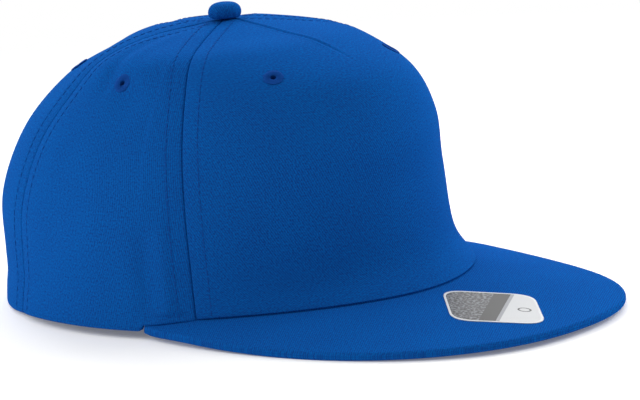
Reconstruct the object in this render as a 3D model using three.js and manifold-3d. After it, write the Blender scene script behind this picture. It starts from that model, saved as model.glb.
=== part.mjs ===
// A high, flat-peaked cap: one stiff front panel with a dart, two side panels and two back panels,
// a covered button, six stitched eyelets and a snap strap across the arch at the back.
// Millimetres, +Z up. The cap faces -Y and rests on its back rim and the front of its peak.
// Angles run round the crown from the front, positive towards the wearer's right, which is -X.

import * as THREE from 'three';
import { mergeVertices } from 'three/addons/utils/BufferGeometryUtils.js';
import Module from 'manifold-3d';

const wasm = await Module();
wasm.setup();

const degree = Math.PI / 180;

// Clearance between pieces that touch on the real cap
const gap = 0.3;

// Crown
const frontReach = 102;
const sideReach = 87.8;
const backReach = 99.5;
const crownHeight = 108;
const panelWall = 1.8;
const frontPinch = 0.026;
const backPinch = 0.013;
const backSpread = 0.04;
const topAdvance = 1.5;
const topHoleReach = 3;

// Seams between the panels: the angle at the rim and how far each seam leans back on its way up
const sideSeamAngle = 57.8 * degree;
const sideSeamLean = 6.2 * degree;
const backSeamAngle = 118.5 * degree;
const backSeamLean = 3 * degree;

// Peak
const peakReach = 171.5;
const peakHalfWidth = 84.8;
const peakThickness = 3;
const peakEdgeRound = 1;
const peakTilt = 4 * degree;
const peakBow = 8.7;
const peakBowGrowth = 2.75;
const peakCornerDrop = 1.6;
const peakCornerSpread = 14;
const peakFullness = 2.33;
const peakCornerAngle = 71.2 * degree;
const peakCornerTuck = 8;

// Rim behind the peak, which hangs beside the peak's edge and then comes down to the surface
const rimDrop = 2.2;
const rimStepStart = 0.6;
const rimStepLength = 2;
const restAngle = 140 * degree;

// Arch at the back
const archHalfWidth = 40;
const archHeight = 47;

// Snap strap
const strapThickness = 1.3;
const strapHeight = 18;
const strapLift = 3;
const strapTuck = 14;
const studPitch = 8;
const studRadius = 1.8;
const studRise = 0.8;
const studsPerStrap = 7;
const studsEngaged = 4;
const studClearance = 0.4;
const strapEndMargin = 6;

// Sweatband
const sweatbandHeight = 32;
const sweatbandThickness = 1.2;
const sweatbandLift = 1.5;
const sweatbandSlack = 1.5;
const sweatbandSlackRise = 7;

// Button
const buttonRadius = 6.6;
const buttonHeight = 6;

// Eyelets
const eyeletRadius = 3.9;
const eyeletHoleRadius = 0.9;
const eyeletHeight = 0.6;
const eyeletUp = 0.625;

// Sticker on the peak, a slanted shape turned on its place beside the middle
const stickerLength = 38.6;
const stickerWidth = 34.9;
const stickerCorner = 9;
const stickerTurn = 46 * degree;
const stickerSlant = 17.5 * degree;
const stickerThickness = 0.4;
const stickerOffset = 6;
const stickerUp = 0.532;

// Stations up the crown, rim first. Reaches are shares of the reach at the rim,
// rises are shares of the height from the rim to the top.
const crownStations = [
  { front: 1, side: 1, back: 1, frontRise: 0, backRise: 0 },
  { front: 0.885, side: 0.975, back: 1, frontRise: 0.11, backRise: 0.19 },
  { front: 0.845, side: 0.95, back: 1.005, frontRise: 0.37, backRise: 0.4 },
  { front: 0.857, side: 0.85, back: 0.89, frontRise: 0.6, backRise: 0.625 },
  { front: 0.775, side: 0.69, back: 0.705, frontRise: 0.79, backRise: 0.795 },
  { front: 0.513, side: 0.57, back: 0.5, frontRise: 0.915, backRise: 0.893 },
  { front: 0.291, side: 0.335, back: 0.32, frontRise: 0.955, backRise: 0.965 },
  { front: 0, side: 0, back: 0, frontRise: 1, backRise: 1 },
];

// Soft folds and dents. Each runs between two places on the crown, given by the angle in degrees and
// the share of the way up. Breadth is a share of the side reach, depth a share of foldDepth.
const foldDepth = 1.6;
const folds = [
  { name: 'dart', from: 0, up: 0.62, to: 0, upTo: 1, breadth: 0.025, depth: -0.45 },
  { name: 'right pleat', from: 70.5, up: 0.04, to: 71, upTo: 0.24, breadth: 0.035, depth: -0.5 },
  { name: 'right pleat crest', from: 65, up: 0.05, to: 66, upTo: 0.25, breadth: 0.03, depth: 0.35 },
  { name: 'right eyelet hollow', from: 84, up: 0.56, to: 97, upTo: 0.66, breadth: 0.07, depth: -0.5 },
  { name: 'right top furrow', from: 99, up: 0.6, to: 106, upTo: 0.92, breadth: 0.04, depth: -0.45 },
  { name: 'right sag', from: 95, up: 0.3, to: 112, upTo: 0.22, breadth: 0.12, depth: -0.4 },
  { name: 'left pleat', from: -76, up: 0.05, to: -74, upTo: 0.22, breadth: 0.035, depth: -0.5 },
  { name: 'left eyelet hollow', from: -86, up: 0.6, to: -98, upTo: 0.57, breadth: 0.07, depth: -0.5 },
  { name: 'left sag', from: -92, up: 0.26, to: -110, upTo: 0.33, breadth: 0.12, depth: -0.45 },
  { name: 'right back dip', from: 138, up: 0.62, to: 150, upTo: 0.72, breadth: 0.07, depth: -0.45 },
  { name: 'left back dip', from: -141, up: 0.7, to: -152, upTo: 0.6, breadth: 0.07, depth: -0.45 },
];

// The stitched hem above the rim draws the side and back panels in
const hemHeight = 13;
const hemBreadth = 5;
const hemDepth = 0.5;
const hemFadeAngle = 20 * degree;

const cloth = new THREE.MeshStandardMaterial({ color: 0x0b4c9e, roughness: 0.9, metalness: 0 });
const bandCloth = new THREE.MeshStandardMaterial({ color: 0x0a438c, roughness: 0.95, metalness: 0 });
const thread = new THREE.MeshStandardMaterial({ color: 0x1552a6, roughness: 0.7, metalness: 0 });
const strapPlastic = new THREE.MeshStandardMaterial({ color: 0x0d4797, roughness: 0.4, metalness: 0 });
const stickerFilm = new THREE.MeshStandardMaterial({ color: 0x8d9096, roughness: 0.35, metalness: 0 });

const clampShare = (value) => Math.min(Math.max(value, 0), 1);
const ease = (value) => (1 - Math.cos(Math.PI * clampShare(value))) / 2;
const mix = (a, b, share) => a + (b - a) * share;

const evenly = (count) => Array.from({ length: count + 1 }, (_, i) => i / count);

// Angle between -180 and 180 degrees
const wrapped = (angle) => Math.atan2(Math.sin(angle), Math.cos(angle));

// One column of the station table, read smoothly at any share of the way up
function stationValue(column, share) {
  const last = crownStations.length - 1;
  const place = clampShare(share) * last;
  const index = Math.min(Math.floor(place), last - 1);
  const f = place - index;
  const p1 = crownStations[index][column];
  const p2 = crownStations[index + 1][column];
  const p0 = index > 0 ? crownStations[index - 1][column] : 2 * p1 - p2;
  const p3 = index + 2 <= last ? crownStations[index + 2][column] : 2 * p2 - p1;
  const slope = p2 - p0;
  const bend = 2 * p0 - 5 * p1 + 4 * p2 - p3;
  const twist = 3 * p1 - p0 - 3 * p2 + p3;
  return p1 + 0.5 * (slope * f + bend * f * f + twist * f * f * f);
}

// The crown seen from above: an oval, slightly pinched between its axes and wider at the back
function planPoint(angle, share) {
  const c = Math.cos(angle);
  const s = Math.sin(angle);
  const oval = 1 / Math.hypot(c / (c >= 0 ? frontReach : backReach), s / sideReach);
  const pinch = (c >= 0 ? frontPinch : backPinch) * (1 - share * share);
  const reach = oval * (1 - pinch * Math.sin(2 * angle) ** 2);
  return { x: -reach * s * (1 - backSpread * c * (1 - share)), y: -reach * c };
}

const peakCorner = planPoint(peakCornerAngle, 0);
const cornerX = -peakCorner.x;
const cornerY = peakCorner.y;

// Edge of the peak from one corner round the front to the other, turn from -90 to 90 degrees
function peakEdge(turn) {
  const out = Math.abs(Math.cos(turn)) ** (2 / peakFullness);
  const wide = Math.abs(Math.sin(turn)) ** (2 / peakFullness);
  const tuck = (peakHalfWidth - cornerX) * (1 - out) ** peakCornerTuck;
  const x = peakHalfWidth * wide - tuck;
  return { x: -Math.sign(turn) * x, y: cornerY - (peakReach + cornerY) * out };
}

// How far the peak's surface lies above its height at the tip. Its two corners turn down a little more.
function peakRelief(x, y) {
  const bow = peakBow * (Math.abs(x) / peakHalfWidth) ** peakBowGrowth;
  const fromCorner = Math.hypot(Math.abs(x) - cornerX, y - cornerY) / peakCornerSpread;
  return Math.tan(peakTilt) * (y + peakReach) - bow - peakCornerDrop * Math.exp(-fromCorner * fromCorner);
}

// Inner edge of the peak, under the inside of the crown's wall
function peakRoot(turn) {
  const onRim = planPoint(peakCornerAngle * (turn / (90 * degree)), 0);
  const inside = 1 - panelWall / Math.hypot(onRim.x, onRim.y);
  return { x: onRim.x * inside, y: onRim.y * inside };
}

// Where the flat of the peak ends and its edge turns down, as a share of the way from root to edge
function peakShoulder(turn) {
  const root = peakRoot(turn);
  const edge = peakEdge(turn);
  return 1 - Math.min(peakEdgeRound / Math.hypot(edge.x - root.x, edge.y - root.y), 0.4);
}

function peakPlace(turn, share) {
  const root = peakRoot(turn);
  const edge = peakEdge(turn);
  return { x: mix(root.x, edge.x, share), y: mix(root.y, edge.y, share) };
}

// The underside touches the surface at its lowest place along the front
const peakTurns = evenly(36).map((share) => mix(-90, 90, share) * degree);
const shoulders = peakTurns.map((turn) => peakPlace(turn, peakShoulder(turn)));
const peakTipHeight = peakThickness - Math.min(...shoulders.map((place) => peakRelief(place.x, place.y)));
const peakTop = (x, y) => peakTipHeight + peakRelief(x, y);

// Lower edge of the crown: on the peak in front, beside its corner, then down to the surface
function rimHeight(angle, place = planPoint(angle, 0)) {
  const turn = Math.abs(wrapped(angle));
  const onPeak = peakTop(place.x, place.y) + gap;
  if (turn <= peakCornerAngle) return onPeak;
  const hangStart = peakTop(cornerX, cornerY) + gap - rimDrop;
  const behind = (turn - peakCornerAngle) / (restAngle - peakCornerAngle);
  const hanging = hangStart * (1 - ease(behind * behind));
  const past = (turn - peakCornerAngle) * sideReach - rimStepStart;
  return mix(onPeak, hanging, ease(past / rimStepLength));
}

// Crown surface before its folds
function smoothCrown(angle, share) {
  const c = Math.cos(angle);
  const frontShare = c > 0 ? c * c : 0;
  const backShare = c < 0 ? c * c : 0;
  const sideShare = 1 - frontShare - backShare;
  const reach = frontShare * stationValue('front', share) + backShare * stationValue('back', share)
    + sideShare * stationValue('side', share);
  const rise = mix(stationValue('backRise', share), stationValue('frontRise', share), (1 + c) / 2);
  const plan = planPoint(angle, share);
  const rim = rimHeight(angle);
  const y = plan.y * reach - topAdvance * Math.max(rise, 0) ** 1.5;
  return new THREE.Vector3(plan.x * reach, y, mix(rim, crownHeight, rise));
}

function crownNormal(angle, share) {
  const step = 1e-3;
  const here = Math.min(share, 1 - 2 * step);
  const round = smoothCrown(angle + step, here).sub(smoothCrown(angle - step, here));
  const up = smoothCrown(angle, here + step).sub(smoothCrown(angle, Math.max(here - step, 0)));
  return up.cross(round).normalize();
}

// How far folds, dents and the hem move the cloth along its normal
function foldOffset(angle, share, point) {
  let offset = 0;
  for (const row of folds) {
    const nearest = { distance: Infinity, along: 0 };
    const steps = 6;
    for (let i = 0; i <= steps; i += 1) {
      const along = i / steps;
      const away = wrapped(angle - mix(row.from, row.to, along) * degree) * Math.hypot(point.x, point.y);
      const above = (share - mix(row.up, row.upTo, along)) * crownHeight;
      const distance = Math.hypot(away, above);
      if (distance < nearest.distance) Object.assign(nearest, { distance, along });
    }
    const spread = nearest.distance / (row.breadth * sideReach);
    offset += row.depth * foldDepth * Math.exp(-spread * spread);
  }
  const rise = point.z - rimHeight(angle);
  const behindPeak = ease((Math.abs(wrapped(angle)) - peakCornerAngle) / hemFadeAngle);
  const hem = Math.exp(-(((rise - hemHeight) / hemBreadth) ** 2));
  return offset - hemDepth * hem * behindPeak;
}

// A place in the crown's wall, depth measured inwards from the outer face
function crownPoint(angle, share, depth) {
  const point = smoothCrown(angle, share);
  return moveInWall(point, angle, share, foldOffset(angle, share, point) - depth);
}

// The same for a band that doesn't follow the folds
function linedPoint(angle, share, depth) {
  return moveInWall(smoothCrown(angle, share), angle, share, -depth);
}

// Moves a point of the crown along the normal. At the rim it moves level and stays on the rim's height.
function moveInWall(point, angle, share, outward) {
  const normal = crownNormal(angle, share);
  if (share > 0) return point.addScaledVector(normal, outward);
  point.addScaledVector(normal.setZ(0).normalize(), outward);
  return point.setZ(rimHeight(angle, point));
}

// Share of the way up at which the crown is this high above its rim
function shareAtRise(angle, rise) {
  let low = 0;
  let high = 1;
  for (let i = 0; i < 30; i += 1) {
    const middle = (low + high) / 2;
    if (smoothCrown(angle, middle).z - rimHeight(angle) < rise) low = middle;
    else high = middle;
  }
  return (low + high) / 2;
}

const apex = new THREE.Vector3(0, -topAdvance, crownHeight);

// Share of the way up at which the crown has drawn in to this distance from its axis
function shareAtReach(angle, reach) {
  let low = 0.5;
  let high = 1;
  for (let i = 0; i < 30; i += 1) {
    const middle = (low + high) / 2;
    const point = smoothCrown(angle, middle);
    if (Math.hypot(point.x - apex.x, point.y - apex.y) > reach) low = middle;
    else high = middle;
  }
  return (low + high) / 2;
}

// Closed geometry from points and triangles, turned so that its faces point out
function closedGeometry(points, triangles) {
  let volume = 0;
  for (const [a, b, c] of triangles) {
    volume += points[a].dot(new THREE.Vector3().crossVectors(points[b], points[c]));
  }
  const facing = volume > 0 ? triangles : triangles.map(([a, b, c]) => [a, c, b]);
  const geometry = new THREE.BufferGeometry();
  const positions = points.flatMap((point) => point.toArray());
  geometry.setAttribute('position', new THREE.Float32BufferAttribute(positions, 3));
  geometry.setIndex(facing.flat());
  geometry.computeVertexNormals();
  return geometry;
}

// A sheet with a thickness, from two grids of points that face each other
function thickSheet(outer, inner) {
  const rows = outer.length;
  const columns = outer[0].length;
  const points = [...outer.flat(), ...inner.flat()];
  const triangles = [];
  const quad = (a, b, c, d) => triangles.push([a, b, c], [a, c, d]);
  const out = (i, j) => i * columns + j;
  const back = (i, j) => rows * columns + i * columns + j;
  for (let i = 0; i + 1 < rows; i += 1) {
    for (let j = 0; j + 1 < columns; j += 1) {
      quad(out(i, j), out(i + 1, j), out(i + 1, j + 1), out(i, j + 1));
      quad(back(i, j), back(i, j + 1), back(i + 1, j + 1), back(i + 1, j));
    }
    quad(out(i, 0), back(i, 0), back(i + 1, 0), out(i + 1, 0));
    quad(out(i, columns - 1), out(i + 1, columns - 1), back(i + 1, columns - 1), back(i, columns - 1));
  }
  for (let j = 0; j + 1 < columns; j += 1) {
    quad(out(0, j), out(0, j + 1), back(0, j + 1), back(0, j));
    quad(out(rows - 1, j), back(rows - 1, j), back(rows - 1, j + 1), out(rows - 1, j + 1));
  }
  return closedGeometry(points, triangles);
}

function solidOf(geometry) {
  const bare = geometry.clone();
  bare.deleteAttribute('normal');
  bare.deleteAttribute('uv');
  const merged = mergeVertices(bare, 1e-4);
  const vertProperties = new Float32Array(merged.attributes.position.array);
  const triVerts = new Uint32Array(merged.index.array);
  return new wasm.Manifold(new wasm.Mesh({ numProp: 3, vertProperties, triVerts }));
}

function geometryOf(solid) {
  const mesh = solid.getMesh();
  const geometry = new THREE.BufferGeometry();
  geometry.setAttribute('position', new THREE.Float32BufferAttribute(mesh.vertProperties, 3));
  geometry.setIndex(new THREE.Uint32BufferAttribute(mesh.triVerts, 1));
  geometry.computeVertexNormals();
  return geometry;
}

// Turns a geometry whose axis is Y so that it stands on the crown's wall, and moves it there
function standOnCrown(geometry, angle, share, depth) {
  const normal = crownNormal(angle, share);
  const turn = new THREE.Quaternion().setFromUnitVectors(new THREE.Vector3(0, 1, 0), normal);
  geometry.applyQuaternion(turn);
  const place = crownPoint(angle, share, depth);
  return geometry.translate(place.x, place.y, place.z);
}

const rightSideSeam = (share) => sideSeamAngle + sideSeamLean * share;
const leftSideSeam = (share) => -rightSideSeam(share);
const rightBackSeam = (share) => backSeamAngle + backSeamLean * share;
const leftBackSeam = (share) => -rightBackSeam(share);
const rightCentreBack = () => Math.PI;
const leftCentreBack = () => -Math.PI;

// Each eyelet sits midway between two seams, or between a seam and the middle of the front or back
const eyeletAngles = {
  front_right: rightSideSeam(eyeletUp) / 2,
  front_left: leftSideSeam(eyeletUp) / 2,
  side_right: (rightSideSeam(eyeletUp) + rightBackSeam(eyeletUp)) / 2,
  side_left: (leftSideSeam(eyeletUp) + leftBackSeam(eyeletUp)) / 2,
  back_right: (rightBackSeam(eyeletUp) + Math.PI) / 2,
  back_left: (leftBackSeam(eyeletUp) - Math.PI) / 2,
};

function eyeletHole(angle) {
  const throughWall = 4 * panelWall;
  const radius = eyeletHoleRadius + gap;
  return standOnCrown(new THREE.CylinderGeometry(radius, radius, throughWall, 12), angle, eyeletUp, 0);
}

// The arch is a half ellipse that runs on down past the rim
function archCutter() {
  const shape = new THREE.Shape();
  shape.moveTo(archHalfWidth, -peakThickness);
  shape.lineTo(archHalfWidth, 0);
  shape.absellipse(0, 0, archHalfWidth, archHeight, 0, Math.PI);
  shape.lineTo(-archHalfWidth, -peakThickness);
  shape.closePath();
  const depth = backReach;
  const cutter = new THREE.ExtrudeGeometry(shape, { depth, bevelEnabled: false, curveSegments: 20 });
  return cutter.rotateX(Math.PI / 2).translate(0, 1.5 * backReach, 0);
}

// One panel of the crown between two seams, each seam given by its angle as a function of the share
// of the way up. Breaks are further shares across the panel that get a column of their own.
function panel(startSeam, endSeam, columns, rows, breaks, cutters) {
  const across = [...evenly(columns), ...breaks].sort((a, b) => a - b);
  const grid = (depth) => across.map((u) => evenly(rows).map((v) => {
    const middle = mix(startSeam(v), endSeam(v), u);
    const top = shareAtReach(middle, topHoleReach);
    const share = v * top;
    const local = Math.max(Math.hypot(smoothCrown(middle, share).x, smoothCrown(middle, share).y), 1);
    const inset = Math.sign(endSeam(share) - startSeam(share)) * gap / 2 / local;
    return crownPoint(mix(startSeam(share) + inset, endSeam(share) - inset, u), share, depth);
  }));
  const sheet = thickSheet(grid(0), grid(panelWall));
  if (cutters.length === 0) return sheet;
  let solid = solidOf(sheet);
  for (const cutter of cutters) solid = solid.subtract(solidOf(cutter));
  return geometryOf(solid);
}

function frontPanel() {
  const holes = [eyeletHole(eyeletAngles.front_right), eyeletHole(eyeletAngles.front_left)];
  return panel(leftSideSeam, rightSideSeam, 26, 14, [], holes);
}

function sidePanel(startSeam, endSeam, eyeletAngle) {
  const stepStart = peakCornerAngle + rimStepStart / sideReach;
  const stepEnd = stepStart + rimStepLength / sideReach;
  const start = Math.abs(startSeam(0));
  const width = Math.abs(endSeam(0)) - start;
  const across = (angle) => (angle - start) / width;
  const breaks = [stepStart, stepEnd].map(across);
  return panel(startSeam, endSeam, 13, 14, breaks, [eyeletHole(eyeletAngle)]);
}

function backPanel(startSeam, endSeam, eyeletAngle) {
  return panel(startSeam, endSeam, 13, 14, [], [eyeletHole(eyeletAngle), archCutter()]);
}

// The peak is one board covered in cloth. Its inner edge lies under the crown's wall.
function peak() {
  const spans = [0, 0.1, 0.3, 0.55, 0.8, 1];
  const grid = (face, turnDown) => peakTurns.map((turn) => {
    const row = spans.map((span) => peakPlace(turn, span * peakShoulder(turn)));
    row.push(peakEdge(turn));
    return row.map(({ x, y }, index) => {
      const down = index === spans.length ? turnDown : 0;
      return new THREE.Vector3(x, y, peakTop(x, y) + face + down);
    });
  });
  return thickSheet(grid(0, -peakEdgeRound), grid(-peakThickness, peakEdgeRound));
}

// A covered button, domed above and following the top of the crown below
function button() {
  const seat = (reach) => smoothCrown(Math.PI / 2, shareAtReach(Math.PI / 2, reach)).z + gap;
  const top = crownHeight + gap + buttonHeight;
  const low = seat(buttonRadius);
  const profile = [
    [0, crownHeight + gap],
    [0.85 * buttonRadius, seat(0.85 * buttonRadius)],
    [0.97 * buttonRadius, low + 0.12 * buttonHeight],
    [buttonRadius, low + 0.35 * buttonHeight],
    [0.93 * buttonRadius, low + 0.65 * buttonHeight],
    [0.72 * buttonRadius, low + 0.93 * buttonHeight],
    [0.4 * buttonRadius, top - 0.05 * buttonHeight],
    [0, top],
  ].map(([x, y]) => new THREE.Vector2(x, y));
  const lathe = new THREE.LatheGeometry(profile, 20).rotateX(Math.PI / 2).translate(apex.x, apex.y, 0);
  return geometryOf(solidOf(lathe));
}

// A ring of satin stitch round a small hole
function eyelet(angle) {
  const middle = (eyeletRadius + eyeletHoleRadius) / 2;
  const profile = [
    [eyeletHoleRadius, 0.3 * eyeletHeight],
    [1.5 * eyeletHoleRadius, 0],
    [eyeletRadius, 0],
    [0.95 * eyeletRadius, 0.55 * eyeletHeight],
    [middle, eyeletHeight],
    [eyeletHoleRadius, 0.7 * eyeletHeight],
    [eyeletHoleRadius, 0.3 * eyeletHeight],
  ].map(([x, y]) => new THREE.Vector2(x, y));
  return standOnCrown(new THREE.LatheGeometry(profile, 14), angle, eyeletUp, -gap);
}

// Angle round the back of the crown, from the middle of the back towards the wearer's right
const backAngle = (along) => Math.PI - along / backReach;
const strapRoot = backReach * Math.asin(archHalfWidth / backReach) + strapTuck;

// A band inside the crown: a column of rises above the rim at each angle, at a depth behind the cloth
function innerBand(angles, rises, depthAt, thickness) {
  const grid = (extra) => angles.map((angle, i) => rises[i].map((rise) => {
    return linedPoint(angle, shareAtRise(angle, rise), depthAt(i, rise) + extra);
  }));
  return thickSheet(grid(0), grid(thickness));
}

// The band against the head runs round the front from one root of the strap to the other
function sweatband() {
  const end = backAngle(strapRoot + gap);
  const angles = evenly(48).map((share) => mix(-end, end, share));
  const rises = angles.map(() => evenly(4).map((share) => sweatbandLift + share * sweatbandHeight));
  const slackAt = (rise) => sweatbandSlack * ease((rise - sweatbandLift) / sweatbandSlackRise);
  return innerBand(angles, rises, (i, rise) => panelWall + gap + slackAt(rise), sweatbandThickness);
}

const studStep = (index) => (studsEngaged - 1) * studPitch / 2 - index * studPitch;
const strapOverlap = (studsEngaged - 1) * studPitch + 2 * strapEndMargin;
const strapDepth = panelWall + hemDepth + gap;
const tuckedDepth = strapDepth + strapThickness + gap;

// One half of the strap as a strip with a round tip. Side is 1 for the half on the wearer's right.
// Inward is how much deeper it lies where it passes behind the other half.
function strapStrip(side, inward) {
  const tip = -strapOverlap / 2;
  const round = strapHeight / 2;
  const tipPlaces = [0.04, 0.15, 0.4, 0.7].map((share) => tip + share * round);
  const places = [...tipPlaces, ...evenly(16).map((share) => mix(tip + round, strapRoot, share))];
  const angles = places.map((place) => backAngle(side * place));
  const middle = strapLift + strapHeight / 2;
  const rises = places.map((place) => {
    const fromRound = clampShare((tip + round - place) / round);
    const half = round * Math.sqrt(1 - fromRound * fromRound);
    return evenly(4).map((share) => middle + half * mix(-1, 1, share));
  });
  const clear = strapOverlap / 2 + studRadius;
  const free = strapRoot - strapTuck - clear;
  const depthAt = (i) => strapDepth + inward * (1 - ease((places[i] - clear) / free));
  return innerBand(angles, rises, depthAt, strapThickness);
}

// Studs and holes share their places, counted from the tip of the half that carries them
function strapPins(side, depthFrom, depthTo, radius) {
  const angles = evenly(studsPerStrap - 1).map((share, i) => backAngle(side * -studStep(i)));
  return angles.map((angle) => {
    const share = shareAtRise(angle, strapLift + strapHeight / 2);
    const pin = new THREE.CylinderGeometry(radius, radius, depthFrom - depthTo, 10);
    return solidOf(standOnCrown(pin, angle, share, (depthFrom + depthTo) / 2));
  });
}

function strapWithHoles() {
  let strip = solidOf(strapStrip(1, 0));
  const inside = strapDepth + 2 * strapThickness;
  const outside = strapDepth - strapThickness;
  const cutters = strapPins(1, inside, outside, studRadius + studClearance);
  for (const cutter of cutters) strip = strip.subtract(cutter);
  return geometryOf(strip);
}

function strapWithStuds() {
  let strip = solidOf(strapStrip(-1, tuckedDepth - strapDepth));
  const studs = strapPins(-1, tuckedDepth + strapThickness / 2, strapDepth - studRise, studRadius);
  for (const stud of studs) strip = strip.add(stud);
  return geometryOf(strip);
}

// Ring of points round a sticker with four straight sides and rounded corners
function stickerRing() {
  const middle = new THREE.Vector2();
  const along = new THREE.Vector2(stickerLength / 2, 0).rotateAround(middle, stickerTurn);
  const across = new THREE.Vector2(0, stickerWidth / 2).rotateAround(middle, stickerTurn - stickerSlant);
  const corners = [[1, 1], [-1, 1], [-1, -1], [1, -1]].map(([a, b]) => {
    return along.clone().multiplyScalar(a).addScaledVector(across, b);
  });
  const outline = new THREE.Shape();
  corners.forEach((corner, i) => {
    const before = corners[(i + 3) % 4].clone().sub(corner).setLength(stickerCorner).add(corner);
    const after = corners[(i + 1) % 4].clone().sub(corner).setLength(stickerCorner).add(corner);
    if (i === 0) outline.moveTo(before.x, before.y);
    else outline.lineTo(before.x, before.y);
    outline.quadraticCurveTo(corner.x, corner.y, after.x, after.y);
  });
  outline.closePath();
  return outline.getPoints(4).slice(0, -1);
}

// A sticker that follows the top of the peak beside its middle
function peakSticker() {
  const rim = stickerRing();
  const rings = [0.5, 1];
  const points = [];
  const layer = (lift) => {
    const start = points.length;
    const place = (x, y) => {
      const onX = x - stickerOffset;
      const onY = y - mix(peakReach, frontReach, stickerUp);
      points.push(new THREE.Vector3(onX, onY, peakTop(onX, onY) + lift));
    };
    place(0, 0);
    for (const ring of rings) for (const point of rim) place(ring * point.x, ring * point.y);
    return start;
  };
  const bottom = layer(gap);
  const top = layer(gap + stickerThickness);
  const count = rim.length;
  const triangles = [];
  for (let i = 0; i < count; i += 1) {
    const next = (i + 1) % count;
    for (const [start, flip] of [[bottom, true], [top, false]]) {
      const inner = start + 1;
      const outer = inner + count;
      const faces = [
        [start, inner + i, inner + next],
        [inner + i, outer + i, outer + next],
        [inner + i, outer + next, inner + next],
      ];
      for (const [a, b, c] of faces) triangles.push(flip ? [a, c, b] : [a, b, c]);
    }
    const low = bottom + 1 + count;
    const high = top + 1 + count;
    triangles.push([low + i, low + next, high + next], [low + i, high + next, high + i]);
  }
  return closedGeometry(points, triangles);
}

const cap = new THREE.Group();

function add(name, geometry, material) {
  const mesh = new THREE.Mesh(geometry, material);
  mesh.name = name;
  cap.add(mesh);
}

add('front_panel', frontPanel(), cloth);
add('side_panel_right', sidePanel(rightSideSeam, rightBackSeam, eyeletAngles.side_right), cloth);
add('side_panel_left', sidePanel(leftSideSeam, leftBackSeam, eyeletAngles.side_left), cloth);
add('back_panel_right', backPanel(rightBackSeam, rightCentreBack, eyeletAngles.back_right), cloth);
add('back_panel_left', backPanel(leftBackSeam, leftCentreBack, eyeletAngles.back_left), cloth);
add('peak', peak(), cloth);
add('button', button(), cloth);
for (const [place, angle] of Object.entries(eyeletAngles)) add(`eyelet_${place}`, eyelet(angle), thread);
add('sweatband', sweatband(), bandCloth);
add('strap_with_holes', strapWithHoles(), strapPlastic);
add('strap_with_studs', strapWithStuds(), strapPlastic);
add('peak_sticker', peakSticker(), stickerFilm);

// The origin lies on the surface under the middle of the whole cap
const bounds = new THREE.Box3().setFromObject(cap, true);
const centre = bounds.getCenter(new THREE.Vector3());
cap.position.set(-centre.x, -centre.y, -bounds.min.z);

export default cap;
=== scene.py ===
import math

import bpy
import numpy as np
from mathutils import Matrix, Vector


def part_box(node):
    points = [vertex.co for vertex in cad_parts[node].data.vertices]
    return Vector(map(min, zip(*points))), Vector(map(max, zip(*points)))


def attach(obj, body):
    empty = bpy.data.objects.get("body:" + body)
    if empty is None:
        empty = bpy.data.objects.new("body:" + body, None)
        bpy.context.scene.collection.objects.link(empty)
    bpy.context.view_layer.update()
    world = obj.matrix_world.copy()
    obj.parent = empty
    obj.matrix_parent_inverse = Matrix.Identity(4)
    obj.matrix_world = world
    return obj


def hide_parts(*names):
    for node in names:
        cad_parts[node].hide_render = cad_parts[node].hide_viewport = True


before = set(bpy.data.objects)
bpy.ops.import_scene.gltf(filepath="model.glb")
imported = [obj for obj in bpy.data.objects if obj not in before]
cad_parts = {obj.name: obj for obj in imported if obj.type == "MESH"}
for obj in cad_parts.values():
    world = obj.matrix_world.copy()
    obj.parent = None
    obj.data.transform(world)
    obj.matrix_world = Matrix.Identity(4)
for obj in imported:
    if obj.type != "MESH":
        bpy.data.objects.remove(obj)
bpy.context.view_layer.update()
bpy.ops.object.select_all(action="DESELECT")


# Camera
# The view is from the wearer's right and a little in front, low above the surface.
camera_place = Vector((-0.91788, -0.88113, 0.30013))
camera_target = Vector((0.01928, 0.00976, 0.03289))
camera_roll = math.radians(-4.127)
camera_lens = 189.07

bpy.ops.object.camera_add()
camera = bpy.context.object
camera.name = "camera"
camera.data.lens = camera_lens
camera.data.sensor_width = 36
camera.data.clip_start = 0.05
camera.data.clip_end = 60
facing = (camera_target - camera_place).to_track_quat("-Z", "Y").to_matrix()
camera.matrix_world = Matrix.Translation(camera_place) @ (
    facing @ Matrix.Rotation(camera_roll, 3, "Z")).to_4x4()
bpy.context.scene.camera = camera
bpy.context.scene.view_settings.view_transform = "Standard"


# Floor
# A plain white table in a white studio. It goes over into the white of the room far from the cap.
floor_radius = 12
floor_white = (0.95, 0.95, 0.95, 1)
floor_glow = 0.14
blend_start = 0.16
blend_end = 0.7
room_white = (1, 1, 1, 1)

# The room's light is even, a little weaker from where the camera stands and stronger from above
room_base = 0.34
room_front = -0.07
room_top = 0.42
front_direction = (-0.7, -0.67, 0.25)

bpy.ops.mesh.primitive_circle_add(vertices=96, radius=floor_radius, fill_type="NGON")
floor = bpy.context.object
floor.name = "floor"
floor_material = bpy.data.materials.new("white_table")
floor_material.use_nodes = True
nodes = floor_material.node_tree.nodes
links = floor_material.node_tree.links
surface = nodes["Principled BSDF"]
surface.inputs["Base Color"].default_value = floor_white
surface.inputs["Roughness"].default_value = 0.9
surface.inputs["IOR"].default_value = 1.1
place = nodes.new("ShaderNodeTexCoord")
distance = nodes.new("ShaderNodeVectorMath")
distance.operation = "LENGTH"
links.new(place.outputs["Object"], distance.inputs[0])
surface.inputs["Emission Color"].default_value = room_white
surface.inputs["Emission Strength"].default_value = floor_glow
away = nodes.new("ShaderNodeMapRange")
away.interpolation_type = "SMOOTHSTEP"
away.inputs["From Min"].default_value = blend_start
away.inputs["From Max"].default_value = blend_end
links.new(distance.outputs["Value"], away.inputs["Value"])
glow = nodes.new("ShaderNodeEmission")
glow.inputs["Color"].default_value = room_white
glow.inputs["Strength"].default_value = 1.0
blend = nodes.new("ShaderNodeMixShader")
links.new(away.outputs["Result"], blend.inputs["Fac"])
links.new(surface.outputs["BSDF"], blend.inputs[1])
links.new(glow.outputs["Emission"], blend.inputs[2])
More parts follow.
